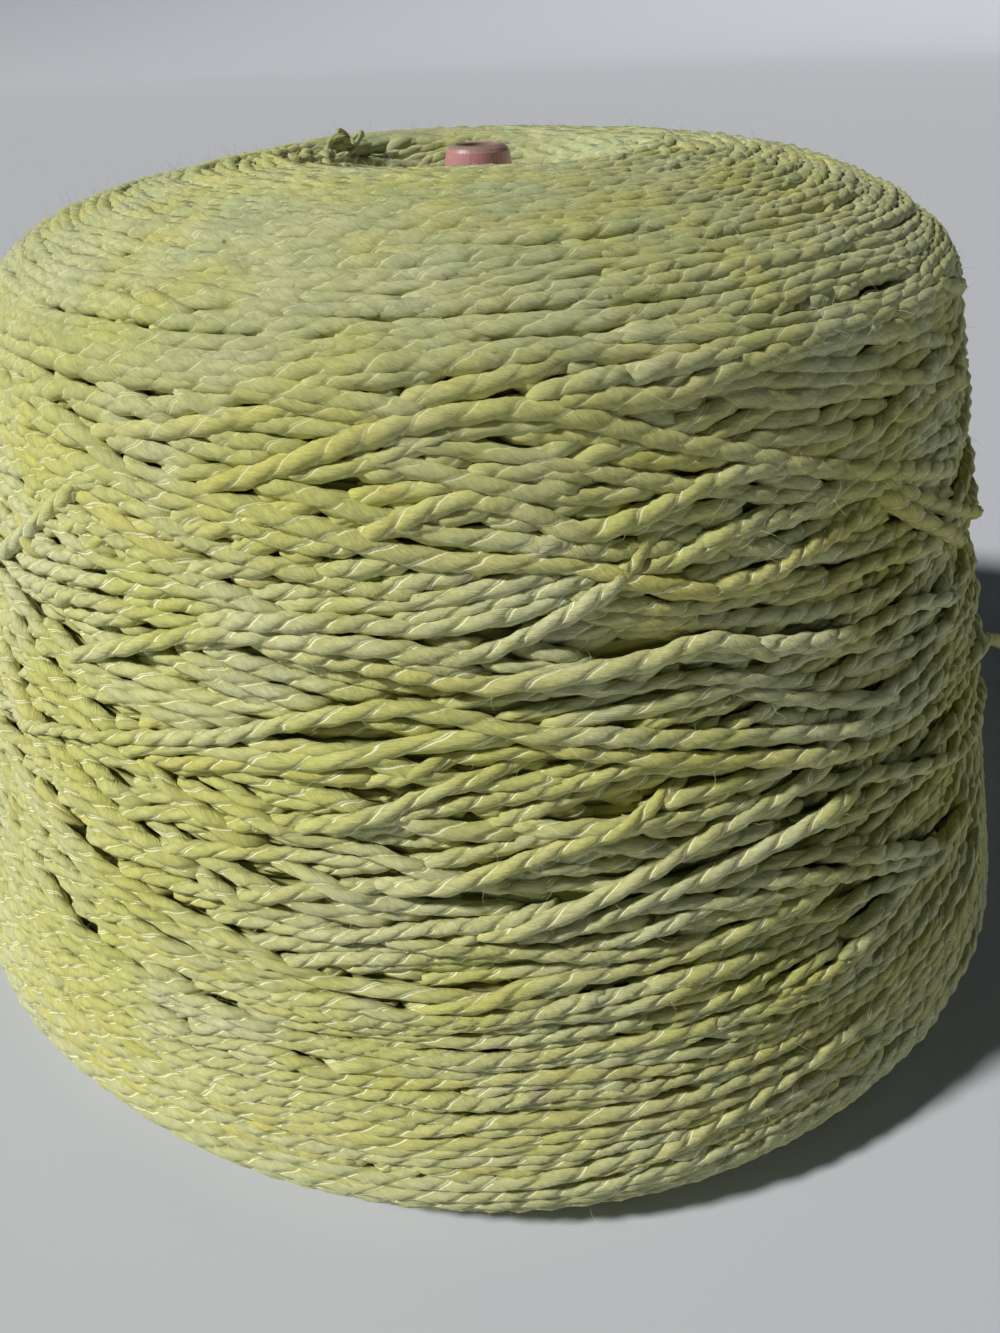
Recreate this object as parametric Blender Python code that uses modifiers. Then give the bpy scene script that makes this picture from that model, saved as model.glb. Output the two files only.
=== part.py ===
"""A yarn cake: thick soft cotton yarn cross-wound on a hollow winding cone.

Units are metres, +Z is up. The origin is on the floor, on the axis of the cone, and the
package stands on its wide end. Angles run anticlockwise from +X, seen from above.
"""
import math

import bpy
from mathutils import Vector

# Outline of the wound yarn, from the foot that it stands on to the dip round the cone's nose
FOOT_RADIUS = 0.110
WIDEST_RADIUS = 0.122
WIDEST_HEIGHT = 0.014
SHOULDER_RADIUS = 0.0927
SHOULDER_HEIGHT = 0.1416
CREST_RADIUS = 0.038
CREST_HEIGHT = 0.1637
DIP_HEIGHT = 0.151
FOOT_POWER = 1.253
SHOULDER_POWER = 1.064

# Bands of yarn that cross on the side, as shallow ridges with hollows between them
BANDS_ROUND = 9
BAND_SPACING = 0.0175
HOLLOW_DEPTH = 0.0026
BAND_SHARPNESS = 0.7
BAND_WANDER = 0.9

# The package is not quite round: a belly on one side and a foot that is drawn in near it
BELLY = 0.0028
BELLY_ANGLE = math.radians(186)
BELLY_HEIGHT = 0.034
BELLY_REACH = 0.035
FOOT_CUT = 0.0034
FOOT_CUT_ANGLE = math.radians(232)
FOOT_CUT_REACH = 0.022

# Winding cone, a moulded shell that narrows by 9 degrees 15 minutes on each side
CONE_BASE_RADIUS = 0.0326
CONE_HALF_ANGLE = math.radians(9.25)
CONE_TOP = 0.1635
CONE_WALL = 0.0015
NOSE_ROUNDING = 0.0019
NOSE_HOLE_RADIUS = 0.0040
NOSE_LIP = 0.0030

# Yarn, and the free end that leaves the package on its right side
YARN_DIAMETER = 0.0030
PIECE_GAP = 0.0003
LOOSE_END_ROUTE = [
    (0.1078, -0.0270, 0.0620),
    (0.1126, -0.0192, 0.0592),
    (0.1182, -0.0126, 0.0555),
    (0.1252, -0.0066, 0.0500),
    (0.1334, 0.0000, 0.0405),
    (0.1420, 0.0070, 0.0290),
    (0.1505, 0.0152, 0.0178),
    (0.1592, 0.0248, 0.0088),
    (0.1680, 0.0352, 0.0036),
    (0.1760, 0.0470, 0.0018),
    (0.1815, 0.0605, 0.0016),
    (0.1840, 0.0745, 0.0016),
    (0.1848, 0.0880, 0.0016),
]
LOOSE_END_STEP = 0.0065
LYING_HEIGHT = 0.00155

# Mesh density
ROUND_STEPS = 90
SIDE_ROWS = 25
SHOULDER_ROWS = 9
FOOT_ROWS = 4
DIP_ROWS = 3
FLAT_ROWS = 2
CONE_STEPS = 48
NOSE_ROWS = 4

YARN_COLOUR = (0.52, 0.54, 0.17, 1.0)
CONE_COLOUR = (0.60, 0.30, 0.31, 1.0)


def clear_scene():
    for item in list(bpy.data.objects):
        bpy.data.objects.remove(item)


def make_material(name, colour, roughness):
    material = bpy.data.materials.new(name)
    material.use_nodes = True
    shader = material.node_tree.nodes["Principled BSDF"]
    shader.inputs["Base Color"].default_value = colour
    shader.inputs["Roughness"].default_value = roughness
    shader.inputs["Metallic"].default_value = 0.0
    return material


def cone_radius(height):
    """Outer radius of the winding cone at a height."""
    return CONE_BASE_RADIUS - height * math.tan(CONE_HALF_ANGLE)


def spread(low, high, count):
    """Evenly spaced values from low to high, both included."""
    return [low + (high - low) * i / (count - 1) for i in range(count)]


def body_outline():
    """Closed outline of the wound yarn as (radius, height), down its outer side and up its bore."""
    points = []
    dip_start = cone_radius(DIP_HEIGHT) + PIECE_GAP
    for t in spread(0.0, 1.0, DIP_ROWS + 1)[:-1]:
        radius = dip_start + (CREST_RADIUS - dip_start) * t
        rise = math.sin(t * math.pi / 2)
        points.append((radius, DIP_HEIGHT + (CREST_HEIGHT - DIP_HEIGHT) * rise))
    for t in spread(math.pi / 2, 0.0, SHOULDER_ROWS + 1)[:-1]:
        across = max(math.cos(t), 0.0) ** SHOULDER_POWER
        radius = CREST_RADIUS + (SHOULDER_RADIUS - CREST_RADIUS) * across
        rise = math.sin(t) ** SHOULDER_POWER
        points.append((radius, SHOULDER_HEIGHT + (CREST_HEIGHT - SHOULDER_HEIGHT) * rise))
    for t in spread(0.0, 1.0, SIDE_ROWS + 1)[:-1]:
        radius = SHOULDER_RADIUS + (WIDEST_RADIUS - SHOULDER_RADIUS) * t
        points.append((radius, SHOULDER_HEIGHT + (WIDEST_HEIGHT - SHOULDER_HEIGHT) * t))
    for t in spread(math.pi / 2, 0.0, FOOT_ROWS + 1):
        radius = FOOT_RADIUS + (WIDEST_RADIUS - FOOT_RADIUS) * math.sin(t) ** FOOT_POWER
        drop = max(math.cos(t), 0.0) ** FOOT_POWER
        points.append((radius, WIDEST_HEIGHT * (1 - drop)))
    inner = cone_radius(0.0) + PIECE_GAP
    for t in spread(1.0, 0.0, FLAT_ROWS + 1)[1:]:
        points.append((inner + (FOOT_RADIUS - inner) * t, 0.0))
    middle = DIP_HEIGHT / 2
    points.append((cone_radius(middle) + PIECE_GAP, middle))
    return points


def screw_solid(name, outline, steps, material):
    """Turn a closed outline round the Z axis and return the object as a plain mesh."""
    mesh = bpy.data.meshes.new(name)
    edges = [(i, (i + 1) % len(outline)) for i in range(len(outline))]
    mesh.from_pydata([(r, 0.0, z) for r, z in outline], edges, [])
    item = bpy.data.objects.new(name, mesh)
    bpy.context.scene.collection.objects.link(item)
    screw = item.modifiers.new("turn", "SCREW")
    screw.axis = "Z"
    screw.angle = math.tau
    screw.steps = steps
    screw.render_steps = steps
    screw.use_merge_vertices = True
    screw.merge_threshold = 0.00001
    bpy.context.view_layer.update()
    evaluated = item.evaluated_get(bpy.context.evaluated_depsgraph_get())
    solid_mesh = bpy.data.meshes.new_from_object(evaluated)
    bpy.data.objects.remove(item)
    solid_mesh.name = name
    solid_mesh.materials.clear()
    solid_mesh.materials.append(material)
    solid = bpy.data.objects.new(name, solid_mesh)
    return solid


def angle_between(a, b):
    """Smallest turn from one angle to another."""
    return math.atan2(math.sin(a - b), math.cos(a - b))


def band_hollow(angle, along):
    """How deep a place lies between the crossing bands: 0 on top of a band, 1 in a hollow."""
    turns = math.tau * along / BAND_SPACING
    wander = BAND_WANDER * math.sin(2 * angle + 0.6) + 0.5 * math.sin(3 * angle - turns / 4)
    rising = 0.5 + 0.5 * math.cos(turns - BANDS_ROUND * angle + wander)
    falling = 0.5 + 0.5 * math.cos(turns + BANDS_ROUND * angle - 1.3 * wander)
    return (1.0 - max(rising, falling)) ** BAND_SHARPNESS


def band_strength(height):
    """Bands cross on the side, and die out over the shoulder and the foot."""
    low = min(max((height - 0.006) / 0.035, 0.0), 1.0)
    high = min(max((CREST_HEIGHT - 0.004 - height) / 0.045, 0.0), 1.0)
    return math.sin(low * math.pi / 2) * math.sin(high * math.pi / 2)


def unevenness(angle, height):
    """Outward swell of the package where it was wound or stored unevenly."""
    belly_side = math.exp(-(angle_between(angle, BELLY_ANGLE) / 0.55) ** 2)
    belly = BELLY * belly_side * math.exp(-((height - BELLY_HEIGHT) / BELLY_REACH) ** 2)
    cut_side = math.exp(-(angle_between(angle, FOOT_CUT_ANGLE) / 0.45) ** 2)
    cut = FOOT_CUT * cut_side * math.exp(-(height / FOOT_CUT_REACH) ** 2)
    return belly - cut


def shape_body(body, outline):
    """Press the hollows between the bands into the turned body, and make it a little uneven."""
    along = [0.0]
    for before, after in zip(outline, outline[1:]):
        along.append(along[-1] + math.dist(before, after))
    for vertex in body.data.vertices:
        radius = math.hypot(vertex.co.x, vertex.co.y)
        height = vertex.co.z
        row = min(range(len(outline)), key=lambda i: math.dist(outline[i], (radius, height)))
        if radius < CREST_RADIUS or height < 0.0005:
            continue
        angle = math.atan2(vertex.co.y, vertex.co.x)
        before = outline[row - 1]
        after = outline[(row + 1) % len(outline)]
        run = Vector((after[0] - before[0], after[1] - before[1])).normalized()
        outward = Vector((-run.y, run.x))
        depth = HOLLOW_DEPTH * band_strength(height) * band_hollow(angle, along[row])
        swell = unevenness(angle, height) - depth
        radius += outward.x * swell
        vertex.co.x = radius * math.cos(angle)
        vertex.co.y = radius * math.sin(angle)
        vertex.co.z = height + outward.y * swell


def make_yarn_body(material):
    outline = body_outline()
    body = screw_solid("yarn_cake", outline, ROUND_STEPS, material)
    shape_body(body, outline)
    body.data.shade_smooth()
    body.data.set_sharp_from_angle(angle=math.radians(50))
    return body


def cone_outline():
    """Closed outline of the cone's shell: round the nose, down the outside, up the inside."""
    points = []
    nose_side = cone_radius(CONE_TOP - NOSE_ROUNDING)
    for t in spread(math.pi / 2, 0.0, NOSE_ROWS + 1):
        radius = nose_side - NOSE_ROUNDING * (1 - math.cos(t))
        points.append((radius, CONE_TOP - NOSE_ROUNDING * (1 - math.sin(t))))
    points.append((cone_radius(CONE_TOP / 2), CONE_TOP / 2))
    points.append((cone_radius(0.0), 0.0))
    points.append((cone_radius(0.0) - CONE_WALL, 0.0))
    points.append((cone_radius(CONE_TOP / 2) - CONE_WALL, CONE_TOP / 2))
    lip_foot = CONE_TOP - NOSE_LIP
    points.append((cone_radius(lip_foot) - CONE_WALL, lip_foot))
    points.append((NOSE_HOLE_RADIUS, lip_foot + 0.0006))
    points.append((NOSE_HOLE_RADIUS, CONE_TOP - 0.0002))
    return points


def make_cone(material):
    cone = screw_solid("cone_core", cone_outline(), CONE_STEPS, material)
    cone.data.shade_smooth()
    cone.data.set_sharp_from_angle(angle=math.radians(50))
    return cone


def smooth_route(points, step):
    """Points a given distance apart on a smooth curve through the route's own points."""
    route = [Vector(p) for p in points]
    padded = [2 * route[0] - route[1]] + route + [2 * route[-1] - route[-2]]
    dense = []
    for a, b, c, d in zip(padded, padded[1:], padded[2:], padded[3:]):
        for t in spread(0.0, 1.0, 21)[:-1]:
            bend = 2 * a - 5 * b + 4 * c - d
            twist = 3 * b - a - 3 * c + d
            dense.append(0.5 * (2 * b + (c - a) * t + bend * t ** 2 + twist * t ** 3))
    dense.append(route[-1])
    lengths = [0.0]
    for before, after in zip(dense, dense[1:]):
        lengths.append(lengths[-1] + (after - before).length)
    count = round(lengths[-1] / step)
    result = []
    for place in spread(0.0, lengths[-1], count + 1):
        k = max(i for i in range(len(dense) - 1) if lengths[i] <= place + 1e-12)
        part = (place - lengths[k]) / (lengths[k + 1] - lengths[k])
        result.append(dense[k].lerp(dense[k + 1], part))
    return result


def make_loose_end(material):
    """The free end of the yarn, a capped tube from the side of the package to the floor."""
    curve = bpy.data.curves.new("loose_end", "CURVE")
    curve.dimensions = "3D"
    curve.bevel_depth = YARN_DIAMETER / 2
    curve.bevel_resolution = 2
    curve.use_fill_caps = True
    points = smooth_route(LOOSE_END_ROUTE, LOOSE_END_STEP)
    spline = curve.splines.new("POLY")
    spline.points.add(len(points) - 1)
    for target, place in zip(spline.points, points):
        target.co = (place.x, place.y, max(place.z, LYING_HEIGHT), 1.0)
    curve.materials.append(material)
    return bpy.data.objects.new("loose_end", curve)


def main():
    clear_scene()
    collection = bpy.data.collections.new("Yarn cake")
    bpy.context.scene.collection.children.link(collection)
    yarn = make_material("wound yarn", YARN_COLOUR, 0.9)
    plastic = make_material("cone shell", CONE_COLOUR, 0.45)
    end_yarn = make_material("free yarn", YARN_COLOUR, 0.9)
    collection.objects.link(make_yarn_body(yarn))
    collection.objects.link(make_cone(plastic))
    collection.objects.link(make_loose_end(end_yarn))


main()
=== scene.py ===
"""Looks of a yarn cake: every outer turn of its thick slub yarn, laid one over another as a
winder lays them, with the binding thread, the fuzz, the winding cone and the loose end.

Metres, +Z up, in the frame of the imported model. Angles run anticlockwise from +X, from above.
"""
import math

import bpy
import numpy as np
from mathutils import Matrix, Vector


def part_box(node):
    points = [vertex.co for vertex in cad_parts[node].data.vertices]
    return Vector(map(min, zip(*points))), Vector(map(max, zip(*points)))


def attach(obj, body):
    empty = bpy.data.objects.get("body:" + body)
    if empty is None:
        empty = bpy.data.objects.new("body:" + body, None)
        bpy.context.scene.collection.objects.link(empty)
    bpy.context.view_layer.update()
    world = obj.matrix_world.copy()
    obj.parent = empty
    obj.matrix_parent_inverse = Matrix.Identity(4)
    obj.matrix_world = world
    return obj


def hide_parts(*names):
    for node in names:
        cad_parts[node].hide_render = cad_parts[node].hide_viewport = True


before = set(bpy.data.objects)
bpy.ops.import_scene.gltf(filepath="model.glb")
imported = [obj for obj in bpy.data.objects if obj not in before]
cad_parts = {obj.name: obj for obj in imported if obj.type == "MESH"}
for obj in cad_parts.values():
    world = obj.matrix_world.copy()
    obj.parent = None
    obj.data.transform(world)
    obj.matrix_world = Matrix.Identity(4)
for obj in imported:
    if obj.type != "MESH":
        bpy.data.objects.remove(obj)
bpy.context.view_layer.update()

# Outline of the package, as in the frame's solid
FOOT_RADIUS = 0.110
WIDEST_RADIUS = 0.122
WIDEST_HEIGHT = 0.014
SHOULDER_RADIUS = 0.0927
SHOULDER_HEIGHT = 0.1416
CREST_RADIUS = 0.038
CREST_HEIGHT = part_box("yarn_cake")[1][2]
DIP_HEIGHT = 0.151
FOOT_POWER = 1.253
SHOULDER_POWER = 1.064
NOSE_CLEARANCE_RADIUS = 0.0096
BASE_INNER_RADIUS = 0.040
MEAN_RADIUS = 0.105

# What the photographed package has of its own: spreads are angles round it, in radians
BELLY = 0.0042
BELLY_ANGLE = math.radians(190)
BELLY_SPREAD = 0.55
BELLY_HEIGHT = 0.024
BELLY_REACH = 0.035
FOOT_CUT = 0.0012
FOOT_CUT_ANGLE = math.radians(236)
FOOT_CUT_SPREAD = 0.45
FOOT_CUT_REACH = 0.022
DENT = 0.0019
DENT_ANGLE = math.radians(163)
DENT_SPREAD = 0.6
DENT_RADIUS = 0.064
DENT_REACH = 0.022
DENT_EASE = 0.01
OFF_CENTRE = -0.0014
OFF_CENTRE_EASE = 0.02

# Yarn
YARN_DIAMETER = 0.0030
WOUND_DIAMETER = 0.0027
BINDING_PITCH = 0.0067
PLIES = 2.0
FLOOR_CLEARANCE = 0.0002
TUBE_SIDES = 6
TUBE_STEPS_PER_TURN = 4
OUTER_SIDES = 8
OUTER_STEPS_PER_TURN = 5
UNDERSIDE_START = 0.028
UNDERSIDE_STEPS = 2
SWELL = 0.09
PIECE_TRIANGLES = 190000

# Dye, marks and binding thread, with the painted shade of creases, crown and one hollow, and the
# binding thread's painted glint
YARN_PALE = (0.59, 0.61, 0.34, 1)
YARN_DEEP = (0.56, 0.57, 0.19, 1)
YARN_WARM = (0.62, 0.58, 0.15, 1)
# Painted shade on the crown, greyed as painted sheen of its fuzz
YARN_CROWN_SHADE = (0.42, 0.50, 0.28, 1)
# Painted shade for the strands' creases, also the colour of their small dark flecks
CREASE_SHADE_AND_FLECK_COLOUR = (0.33, 0.34, 0.08, 1)
# Paler binding thread, with part of its glint painted in as highlight
THREAD_AND_GLINT_COLOUR = (0.86, 0.86, 0.54, 1)
STAIN_COLOUR = (0.30, 0.21, 0.20, 1)
# Colour of dirt specks, and of painted shade in one hollow
DIRT_AND_HOLLOW_SHADE_COLOUR = (0.09, 0.055, 0.03, 1)

# Heights over which the pale foot ends, and the felted shoulder, darker with painted shade, and
# the crown's painted shade and sheen begin
PALE_FOOT = (0.012, 0.050)
FELTED_SHADED_SHOULDER = (0.112, 0.142)
SHADED_CROWN = (0.136, 0.160)

# Marks on the yarn in the photograph: middle in its pixels, radius, soft edge
STAIN = ((540, 1100), 0.0012, 0.0012)
DIRT_SPOTS_AND_HOLLOW_SHADE = [((496, 1179), 0.0003, 0.0004), ((224, 239), 0.0003, 0.0004),
          # The last is no speck but painted shade in a hollow between curved strands
          ((961, 572), 0.0010, 0.0022)]

# Fuzz and tuft
FUZZ_DENSITY = 17500.0
FUZZ_LENGTH = 0.0030
FUZZ_THICKNESS = 0.00005
FUZZ_CROWN_HEIGHT = 0.125
TUFT_PIXEL = (345, 146)
TUFT_SIZE = 0.0044
TUFT_FUZZ = 30

# Winding
SEED = 7
LAID_WIDTH = 0.0021
WIDTH_SPREAD = 0.05
TRAVERSES = 240
TRAVERSE_SAMPLES = 700
TURNS_PER_TRAVERSE = 2.75
TURN_SAMPLES = 300
SLACK_TURNS = 44
SLACK_SAMPLES = 160
SLACK_TAUTNESS = 0.85
TOP_PIXEL_STEP = 8.0
TOP_WIDER = 1.06
TOP_TAUTNESS = 0.8
CROWN_TINT = 1.3
NEIGHBOUR_TURN = 0.214
CORNER_SHARPNESS = 0.93
TAUTNESS = 0.62
SINK = 0.50
GRID_STEP = 0.0005
GRID_COLUMNS = 1080
LAY_STEP = 0.0005
SETTLE_REACH = 0.0022
SETTLE_EASE = 0.0003
TUCK_DEPTH = 0.0042
BASE_LIFT = -0.0075
LEVEL_REACH = 0.007
SURFACE_OFFSET = -0.0014
RELIEF = 0.68
CALM_RELIEF = 0.20
CALM_FOOT_HEIGHT = 0.034
CALM_SHOULDER_HEIGHT = 0.112
CALM_EASE = 0.020
PRESSED_WIDER = 0.16
CROWN_OFFSET = -0.0022
PACKED_DEPTH = 0.0037
PACKED_ROW = 0.0026
END_TUCK = 0.0021
END_REACH = 0.0045

# Loose end, along the same points as the frame's solid
LOOSE_END_ROUTE = [
    (0.1078, -0.0270, 0.0620), (0.1126, -0.0192, 0.0592), (0.1182, -0.0126, 0.0555),
    (0.1252, -0.0066, 0.0500), (0.1334, 0.0000, 0.0405), (0.1420, 0.0070, 0.0290),
    (0.1505, 0.0152, 0.0178), (0.1592, 0.0248, 0.0088), (0.1680, 0.0352, 0.0036),
    (0.1760, 0.0470, 0.0018), (0.1815, 0.0605, 0.0016), (0.1840, 0.0745, 0.0016),
    (0.1848, 0.0880, 0.0016)]
LYING_HEIGHT = 0.00155

# Camera, as the photograph was taken, and the photograph's frame
PHOTO_WIDTH = 1000.0
PHOTO_HEIGHT = 1333.0
FOCAL_PIXELS = 1050.0
CAMERA_DISTANCE = 0.2253
CAMERA_HEIGHT = 0.183
CAMERA_PITCH = math.radians(31.44)
CAMERA_YAW = math.radians(0.668)
CAMERA_ROLL = math.radians(-1.76)
SENSOR = 36.0

# Light
KEY_AZIMUTH = math.radians(198)
KEY_ELEVATION = math.radians(40)
KEY_SPREAD = math.radians(6)
KEY_STRENGTH = 3.65
FILL_STRENGTH = 0.027

# Strands that lie on top in the photograph: their middles in its pixels
TOP_STRANDS = {
    "long one across the middle": [
        (150, 497), (200, 487), (250, 476), (300, 459), (345, 443), (395, 427), (450, 416),
        (510, 409), (570, 415), (620, 428), (670, 441), (740, 452), (800, 466), (860, 470),
        (910, 471), (952, 468), (972, 455)],
    "above it on the right": [(555, 402), (590, 390), (640, 375), (690, 363), (750, 353),
                              (810, 340)],
    "short one under the long one": [(470, 441), (505, 432), (545, 427), (580, 428)],
    "second under the long one": [(498, 467), (540, 455), (575, 442), (605, 436), (640, 437)],
    "third under the long one": [(518, 479), (560, 468), (595, 455), (640, 448), (690, 447)],
    "one that dips and climbs": [
        (300, 556), (345, 543), (390, 527), (430, 510), (465, 500), (500, 505), (530, 512),
        (560, 528), (590, 535), (620, 526), (660, 511), (690, 494), (720, 482), (755, 470),
        (800, 466), (840, 463)],
    "steep one": [
        (40, 665), (85, 654), (140, 644), (185, 636), (230, 637), (280, 641), (330, 645),
        (370, 648), (420, 655), (465, 660), (505, 648), (545, 628), (585, 606), (622, 580),
        (645, 552), (662, 528), (690, 515)],
    "short light one": [(445, 574), (480, 568), (515, 556), (545, 546), (580, 540)],
    "row over the gap": [
        (160, 628), (210, 622), (260, 622), (320, 624), (370, 627), (420, 632), (465, 625),
        (510, 617), (550, 606), (595, 597)],
    "one with a cut end": [
        (215, 641), (270, 650), (320, 660), (360, 666), (400, 675), (445, 682), (485, 688),
        (525, 683), (565, 678), (610, 669), (655, 660), (690, 648), (720, 642), (755, 648),
        (780, 657), (789, 666)],
    "upper right, first": [(660, 568), (695, 547), (720, 541), (750, 525), (780, 510),
                           (815, 496)],
    "upper right, second": [(665, 597), (705, 588), (745, 583), (780, 570), (810, 550),
                            (845, 530), (885, 505), (905, 490)],
    "upper right, third": [(720, 612), (780, 600), (820, 590), (855, 573), (895, 558),
                           (940, 543), (962, 530)],
    "upper right, fourth": [(640, 640), (680, 632), (740, 622), (800, 617), (850, 607),
                            (885, 595), (915, 577), (945, 552)],
    "upper right, fifth": [(700, 652), (740, 647), (790, 645), (850, 635), (890, 620),
                           (912, 606), (950, 598), (972, 590)],
    "slack one on the right": [(858, 474), (885, 492), (920, 516), (950, 534), (985, 546)],
    "right edge, first": [(900, 395), (930, 372), (950, 350), (962, 330)],
    "right edge, second": [(905, 430), (935, 400), (962, 372), (975, 350)],
    "lower of the pair": [
        (480, 727), (515, 740), (560, 751), (620, 758), (690, 762), (760, 760), (840, 756),
        (895, 745), (940, 716), (966, 690), (978, 650)],
    "upper of the pair": [
        (0, 722), (50, 730), (110, 738), (170, 740), (230, 737), (290, 725), (345, 716),
        (400, 712), (450, 720), (500, 731), (545, 738), (600, 738), (680, 742), (740, 740),
        (800, 737), (865, 727), (915, 710), (938, 688), (955, 660), (968, 620)],
    "above the pair": [(690, 700), (740, 694), (800, 700), (850, 702), (895, 697), (925, 690)],
    "climbing, first": [(310, 797), (345, 790), (390, 781), (430, 770), (465, 760), (500, 745)],
    "climbing, second": [
        (250, 836), (300, 829), (345, 822), (380, 815), (420, 800), (455, 788), (495, 778),
        (530, 765), (555, 752)],
    "climbing, third": [
        (330, 893), (400, 889), (450, 884), (485, 876), (520, 863), (560, 849), (600, 834),
        (640, 817), (680, 796), (715, 783)],
    "climbing, fourth": [
        (420, 948), (470, 944), (510, 934), (560, 917), (605, 900), (650, 876), (690, 850),
        (730, 828), (770, 808), (805, 788), (845, 760), (880, 735)],
    "climbing, fifth": [
        (480, 958), (535, 945), (581, 931), (625, 914), (680, 890), (715, 875), (745, 860),
        (775, 843), (810, 822), (845, 800), (870, 775), (900, 752)],
    "low right, first": [(700, 898), (760, 885), (820, 877), (880, 870), (925, 862),
                         (955, 840)],
    "low right, second": [(790, 868), (840, 858), (890, 853), (935, 848), (960, 825)],
    "low right, third": [(780, 935), (830, 920), (865, 900), (900, 885), (930, 865),
                         (950, 840), (968, 810)],
    "falling on the left, first": [(5, 375), (45, 410), (80, 437), (110, 465), (140, 495),
                                   (165, 520), (190, 545)],
    "falling on the left, second": [(0, 480), (15, 520), (32, 560), (50, 600)],
    "falling on the left, third": [(10, 620), (25, 650), (45, 680), (75, 705)],
    "falling on the left, fourth": [(100, 745), (140, 768), (180, 800), (215, 826),
                                    (250, 850), (300, 880)],
    "falling on the left, fifth": [(30, 730), (55, 780), (95, 822), (130, 850), (170, 880)],
}

CROWN_STRANDS = {
    "yellow one by the tuft": [(262, 160), (285, 157), (310, 153), (335, 150), (352, 152)],
    "loop right of the nose": [(552, 158), (560, 149), (575, 147), (590, 152), (602, 146),
                               (612, 150)],
    "far side of the dip": [(640, 134), (665, 132), (690, 134), (715, 138)],
    "left of the nose": [(385, 150), (410, 142), (440, 140), (455, 144)],
}


def camera_axes():
    """Right, down and forward directions of the camera."""
    forward = Vector((math.sin(CAMERA_YAW) * math.cos(CAMERA_PITCH),
                      math.cos(CAMERA_YAW) * math.cos(CAMERA_PITCH),
                      -math.sin(CAMERA_PITCH)))
    level = Vector((math.cos(CAMERA_YAW), -math.sin(CAMERA_YAW), 0.0))
    below = forward.cross(level)
    right = level * math.cos(CAMERA_ROLL) - below * math.sin(CAMERA_ROLL)
    down = level * math.sin(CAMERA_ROLL) + below * math.cos(CAMERA_ROLL)
    return right, down, forward


def make_camera():
    right, down, forward = camera_axes()
    data = bpy.data.cameras.new("camera")
    data.sensor_fit = "VERTICAL"
    data.sensor_height = SENSOR
    data.lens = FOCAL_PIXELS / PHOTO_HEIGHT * SENSOR
    data.clip_start = 0.01
    camera = bpy.data.objects.new("camera", data)
    bpy.context.scene.collection.objects.link(camera)
    turn = Matrix((right, -down, -forward)).transposed().to_4x4()
    place = Vector((OFF_CENTRE, -CAMERA_DISTANCE, CAMERA_HEIGHT))
    camera.matrix_world = Matrix.Translation(place) @ turn
    bpy.context.scene.camera = camera


def make_key_light():
    """Even light from the upper left, from a source wide enough for soft shadow edges."""
    data = bpy.data.lights.new("key", "SUN")
    data.energy = KEY_STRENGTH
    data.angle = KEY_SPREAD
    data.color = (1.0, 0.97, 0.93)
    light = bpy.data.objects.new("key", data)
    bpy.context.scene.collection.objects.link(light)
    level = math.cos(KEY_ELEVATION)
    aim = Vector((-level * math.cos(KEY_AZIMUTH), -level * math.sin(KEY_AZIMUTH),
                  -math.sin(KEY_ELEVATION)))
    light.rotation_euler = aim.to_track_quat("-Z", "Y").to_euler()


def make_studio():
    """Wide pale floor that curves up far away, the key light, and soft light all round."""
    make_key_light()
    world = bpy.data.worlds.new("studio")
    world.use_nodes = True
    backdrop = world.node_tree.nodes["Background"]
    backdrop.inputs["Color"].default_value = (0.74, 0.85, 1.0, 1.0)
    backdrop.inputs["Strength"].default_value = FILL_STRENGTH
    bpy.context.scene.world = world
    bpy.context.scene.view_settings.view_transform = "Standard"
    rows = [(0.02, 0.0), (1.0, 0.0), (6.0, 0.0)]
    rows += [(6.0 + 2.0 * math.sin(t), 2.0 - 2.0 * math.cos(t))
             for t in np.linspace(0.1, math.pi / 2, 14)]
    floor = turned_sheet("floor", rows, 72)
    material = bpy.data.materials.new("floor")
    material.use_nodes = True
    shader = material.node_tree.nodes["Principled BSDF"]
    shader.inputs["Base Color"].default_value = (0.57, 0.60, 0.65, 1.0)
    shader.inputs["Roughness"].default_value = 0.9
    shader.inputs["Specular IOR Level"].default_value = 0.1
    floor.data.materials.append(material)


def turned_sheet(name, rows, columns):
    """Open sheet turned about the upright axis, closed by a fan in its middle."""
    points = []
    for r, z in rows:
        for k in range(columns):
            angle = math.tau * k / columns
            points.append((r * math.cos(angle), r * math.sin(angle), z))
    faces = [tuple(range(columns))]
    for i in range(len(rows) - 1):
        for k in range(columns):
            right = (k + 1) % columns
            faces.append((i * columns + k, (i + 1) * columns + k,
                          (i + 1) * columns + right, i * columns + right))
    mesh = bpy.data.meshes.new(name)
    mesh.from_pydata(points, [], faces)
    mesh.shade_smooth()
    sheet = bpy.data.objects.new(name, mesh)
    bpy.context.scene.collection.objects.link(sheet)
    return sheet


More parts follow.
